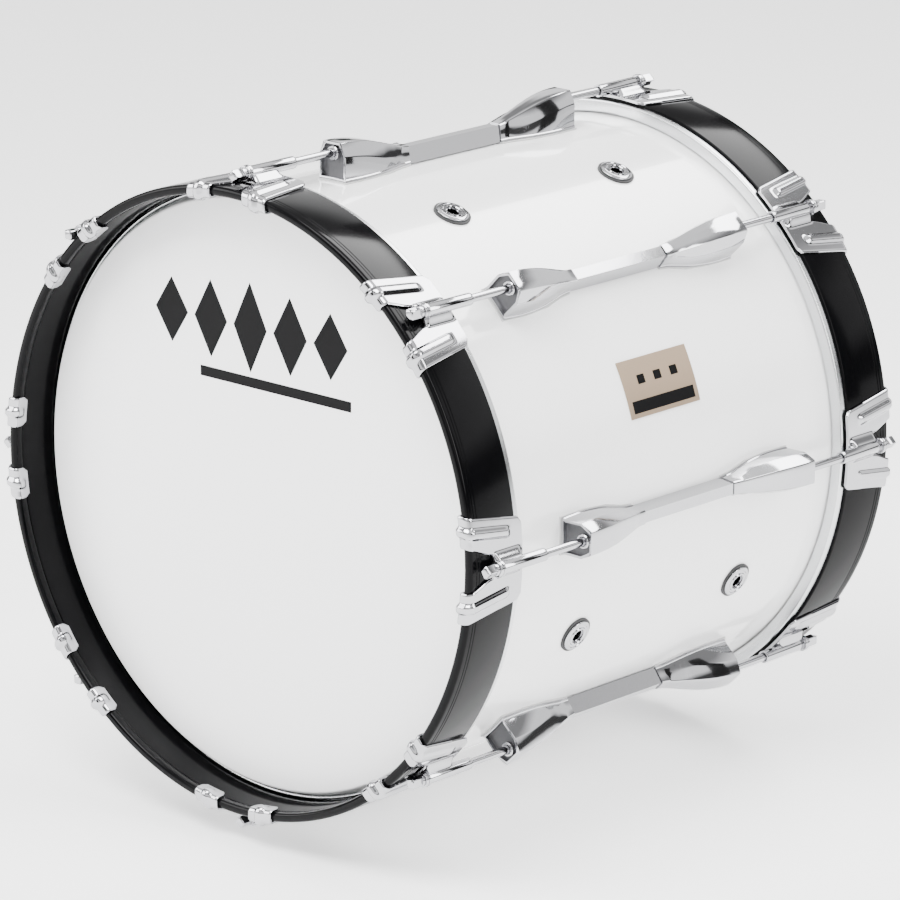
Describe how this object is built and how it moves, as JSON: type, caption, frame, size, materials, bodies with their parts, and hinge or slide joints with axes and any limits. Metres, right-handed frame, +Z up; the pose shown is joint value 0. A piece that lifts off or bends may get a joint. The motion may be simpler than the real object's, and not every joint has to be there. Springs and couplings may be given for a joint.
{
  "type": "marching bass drum",
  "caption": "Marching bass drum with wood counter-hoops, claw hooks, tension rods, double-ended tube lugs and threaded carrier inserts.",
  "frame": {"origin": "on the drum's axis at mid depth", "axes": "+Y along the drum's axis towards the rear head, +Z up through the top lug, +X towards the badge and the carrier inserts"},
  "size_m": [0.4506, 0.4232, 0.4506],
  "materials": {
    "aluminium": "rolled and polished aluminium",
    "badge_brass": "satin, pale bronze tone",
    "chrome": "polished chrome plate",
    "gasket_rubber": "matt black",
    "head_film": "smooth white polyester film",
    "hoop_gloss": "black gloss lacquer",
    "shell_gloss": "white gloss lacquer over a ply shell",
    "steel": "bright zinc"
  },
  "bodies": {
    "drum": {"badge": "badge_brass", "carrier_inserts": "chrome", "front_flesh_hoop": "aluminium", "front_head": "head_film", "front_wood_hoop": "hoop_gloss", "insert_gaskets": "gasket_rubber", "insert_nuts": "steel", "lug_1": "chrome", "lug_2": "chrome", "lug_3": "chrome", "lug_4": "chrome", "lug_5": "chrome", "lug_6": "chrome", "lug_7": "chrome", "lug_8": "chrome", "lug_bridges": "chrome", "lug_gaskets": "gasket_rubber", "lug_screws": "steel", "rear_flesh_hoop": "aluminium", "rear_head": "head_film", "rear_wood_hoop": "hoop_gloss", "shell": "shell_gloss", "swivel_nuts": "steel"},
    "front_claw_1_body": {"front_claw_1": "chrome"},
    "front_rod_1_body": {"front_rod_1": "chrome"},
    "front_claw_2_body": {"front_claw_2": "chrome"},
    "front_rod_2_body": {"front_rod_2": "chrome"},
    "front_claw_3_body": {"front_claw_3": "chrome"},
    "front_rod_3_body": {"front_rod_3": "chrome"},
    "front_claw_4_body": {"front_claw_4": "chrome"},
    "front_rod_4_body": {"front_rod_4": "chrome"},
    "front_claw_5_body": {"front_claw_5": "chrome"},
    "front_rod_5_body": {"front_rod_5": "chrome"},
    "front_claw_6_body": {"front_claw_6": "chrome"},
    "front_rod_6_body": {"front_rod_6": "chrome"},
    "front_claw_7_body": {"front_claw_7": "chrome"},
    "front_rod_7_body": {"front_rod_7": "chrome"},
    "front_claw_8_body": {"front_claw_8": "chrome"},
    "front_rod_8_body": {"front_rod_8": "chrome"},
    "rear_claw_1_body": {"rear_claw_1": "chrome"},
    "rear_rod_1_body": {"rear_rod_1": "chrome"},
    "rear_claw_2_body": {"rear_claw_2": "chrome"},
    "rear_rod_2_body": {"rear_rod_2": "chrome"},
    "rear_claw_3_body": {"rear_claw_3": "chrome"},
    "rear_rod_3_body": {"rear_rod_3": "chrome"},
    "rear_claw_4_body": {"rear_claw_4": "chrome"},
    "rear_rod_4_body": {"rear_rod_4": "chrome"},
    "rear_claw_5_body": {"rear_claw_5": "chrome"},
    "rear_rod_5_body": {"rear_rod_5": "chrome"},
    "rear_claw_6_body": {"rear_claw_6": "chrome"},
    "rear_rod_6_body": {"rear_rod_6": "chrome"},
    "rear_claw_7_body": {"rear_claw_7": "chrome"},
    "rear_rod_7_body": {"rear_rod_7": "chrome"},
    "rear_claw_8_body": {"rear_claw_8": "chrome"},
    "rear_rod_8_body": {"rear_rod_8": "chrome"}
  },
  "joints": [
    {"name": "front_claw_slide_1", "type": "slide", "parent": "drum", "child": "front_claw_1_body", "axis": [0, -1, 0], "range_m": [0, 0.00952]},
    {"name": "front_rod_turn_1", "type": "hinge", "parent": "front_claw_1_body", "child": "front_rod_1_body", "pos_m": [0, -0.1905, 0.2175], "axis": [0, -1, 0], "range_deg": [0, 3240]},
    {"name": "front_claw_slide_2", "type": "slide", "parent": "drum", "child": "front_claw_2_body", "axis": [0, -1, 0], "range_m": [0, 0.00952]},
    {"name": "front_rod_turn_2", "type": "hinge", "parent": "front_claw_2_body", "child": "front_rod_2_body", "pos_m": [0.1538, -0.1905, 0.1538], "axis": [0, -1, 0], "range_deg": [0, 3240]},
    {"name": "front_claw_slide_3", "type": "slide", "parent": "drum", "child": "front_claw_3_body", "axis": [0, -1, 0], "range_m": [0, 0.00952]},
    {"name": "front_rod_turn_3", "type": "hinge", "parent": "front_claw_3_body", "child": "front_rod_3_body", "pos_m": [0.2175, -0.1905, 0], "axis": [0, -1, 0], "range_deg": [0, 3240]},
    {"name": "front_claw_slide_4", "type": "slide", "parent": "drum", "child": "front_claw_4_body", "axis": [0, -1, 0], "range_m": [0, 0.00952]},
    {"name": "front_rod_turn_4", "type": "hinge", "parent": "front_claw_4_body", "child": "front_rod_4_body", "pos_m": [0.1538, -0.1905, -0.1538], "axis": [0, -1, 0], "range_deg": [0, 3240]},
    {"name": "front_claw_slide_5", "type": "slide", "parent": "drum", "child": "front_claw_5_body", "axis": [0, -1, 0], "range_m": [0, 0.00952]},
    {"name": "front_rod_turn_5", "type": "hinge", "parent": "front_claw_5_body", "child": "front_rod_5_body", "pos_m": [0, -0.1905, -0.2175], "axis": [0, -1, 0], "range_deg": [0, 3240]},
    {"name": "front_claw_slide_6", "type": "slide", "parent": "drum", "child": "front_claw_6_body", "axis": [0, -1, 0], "range_m": [0, 0.00952]},
    {"name": "front_rod_turn_6", "type": "hinge", "parent": "front_claw_6_body", "child": "front_rod_6_body", "pos_m": [-0.1538, -0.1905, -0.1538], "axis": [0, -1, 0], "range_deg": [0, 3240]},
    {"name": "front_claw_slide_7", "type": "slide", "parent": "drum", "child": "front_claw_7_body", "axis": [0, -1, 0], "range_m": [0, 0.00952]},
    {"name": "front_rod_turn_7", "type": "hinge", "parent": "front_claw_7_body", "child": "front_rod_7_body", "pos_m": [-0.2175, -0.1905, 0], "axis": [0, -1, 0], "range_deg": [0, 3240]},
    {"name": "front_claw_slide_8", "type": "slide", "parent": "drum", "child": "front_claw_8_body", "axis": [0, -1, 0], "range_m": [0, 0.00952]},
    {"name": "front_rod_turn_8", "type": "hinge", "parent": "front_claw_8_body", "child": "front_rod_8_body", "pos_m": [-0.1538, -0.1905, 0.1538], "axis": [0, -1, 0], "range_deg": [0, 3240]},
    {"name": "rear_claw_slide_1", "type": "slide", "parent": "drum", "child": "rear_claw_1_body", "axis": [0, 1, 0], "range_m": [0, 0.00952]},
    {"name": "rear_rod_turn_1", "type": "hinge", "parent": "rear_claw_1_body", "child": "rear_rod_1_body", "pos_m": [0, 0.1905, 0.2175], "axis": [0, 1, 0], "range_deg": [0, 3240]},
    {"name": "rear_claw_slide_2", "type": "slide", "parent": "drum", "child": "rear_claw_2_body", "axis": [0, 1, 0], "range_m": [0, 0.00952]},
    {"name": "rear_rod_turn_2", "type": "hinge", "parent": "rear_claw_2_body", "child": "rear_rod_2_body", "pos_m": [0.1538, 0.1905, 0.1538], "axis": [0, 1, 0], "range_deg": [0, 3240]},
    {"name": "rear_claw_slide_3", "type": "slide", "parent": "drum", "child": "rear_claw_3_body", "axis": [0, 1, 0], "range_m": [0, 0.00952]},
    {"name": "rear_rod_turn_3", "type": "hinge", "parent": "rear_claw_3_body", "child": "rear_rod_3_body", "pos_m": [0.2175, 0.1905, 0], "axis": [0, 1, 0], "range_deg": [0, 3240]},
    {"name": "rear_claw_slide_4", "type": "slide", "parent": "drum", "child": "rear_claw_4_body", "axis": [0, 1, 0], "range_m": [0, 0.00952]},
    {"name": "rear_rod_turn_4", "type": "hinge", "parent": "rear_claw_4_body", "child": "rear_rod_4_body", "pos_m": [0.1538, 0.1905, -0.1538], "axis": [0, 1, 0], "range_deg": [0, 3240]},
    {"name": "rear_claw_slide_5", "type": "slide", "parent": "drum", "child": "rear_claw_5_body", "axis": [0, 1, 0], "range_m": [0, 0.00952]},
    {"name": "rear_rod_turn_5", "type": "hinge", "parent": "rear_claw_5_body", "child": "rear_rod_5_body", "pos_m": [0, 0.1905, -0.2175], "axis": [0, 1, 0], "range_deg": [0, 3240]},
    {"name": "rear_claw_slide_6", "type": "slide", "parent": "drum", "child": "rear_claw_6_body", "axis": [0, 1, 0], "range_m": [0, 0.00952]},
    {"name": "rear_rod_turn_6", "type": "hinge", "parent": "rear_claw_6_body", "child": "rear_rod_6_body", "pos_m": [-0.1538, 0.1905, -0.1538], "axis": [0, 1, 0], "range_deg": [0, 3240]},
    {"name": "rear_claw_slide_7", "type": "slide", "parent": "drum", "child": "rear_claw_7_body", "axis": [0, 1, 0], "range_m": [0, 0.00952]},
    {"name": "rear_rod_turn_7", "type": "hinge", "parent": "rear_claw_7_body", "child": "rear_rod_7_body", "pos_m": [-0.2175, 0.1905, 0], "axis": [0, 1, 0], "range_deg": [0, 3240]},
    {"name": "rear_claw_slide_8", "type": "slide", "parent": "drum", "child": "rear_claw_8_body", "axis": [0, 1, 0], "range_m": [0, 0.00952]},
    {"name": "rear_rod_turn_8", "type": "hinge", "parent": "rear_claw_8_body", "child": "rear_rod_8_body", "pos_m": [-0.1538, 0.1905, 0.1538], "axis": [0, 1, 0], "range_deg": [0, 3240]}
  ],
  "couplings": [
    {"joint": "front_rod_turn_1", "follows": "front_claw_slide_1", "rad_per_m": 5938.7},
    {"joint": "front_rod_turn_2", "follows": "front_claw_slide_2", "rad_per_m": 5938.7},
    {"joint": "front_rod_turn_3", "follows": "front_claw_slide_3", "rad_per_m": 5938.7},
    {"joint": "front_rod_turn_4", "follows": "front_claw_slide_4", "rad_per_m": 5938.7},
    {"joint": "front_rod_turn_5", "follows": "front_claw_slide_5", "rad_per_m": 5938.7},
    {"joint": "front_rod_turn_6", "follows": "front_claw_slide_6", "rad_per_m": 5938.7},
    {"joint": "front_rod_turn_7", "follows": "front_claw_slide_7", "rad_per_m": 5938.7},
    {"joint": "front_rod_turn_8", "follows": "front_claw_slide_8", "rad_per_m": 5938.7},
    {"joint": "rear_rod_turn_1", "follows": "rear_claw_slide_1", "rad_per_m": 5938.7},
    {"joint": "rear_rod_turn_2", "follows": "rear_claw_slide_2", "rad_per_m": 5938.7},
    {"joint": "rear_rod_turn_3", "follows": "rear_claw_slide_3", "rad_per_m": 5938.7},
    {"joint": "rear_rod_turn_4", "follows": "rear_claw_slide_4", "rad_per_m": 5938.7},
    {"joint": "rear_rod_turn_5", "follows": "rear_claw_slide_5", "rad_per_m": 5938.7},
    {"joint": "rear_rod_turn_6", "follows": "rear_claw_slide_6", "rad_per_m": 5938.7},
    {"joint": "rear_rod_turn_7", "follows": "rear_claw_slide_7", "rad_per_m": 5938.7},
    {"joint": "rear_rod_turn_8", "follows": "rear_claw_slide_8", "rad_per_m": 5938.7}
  ]
}
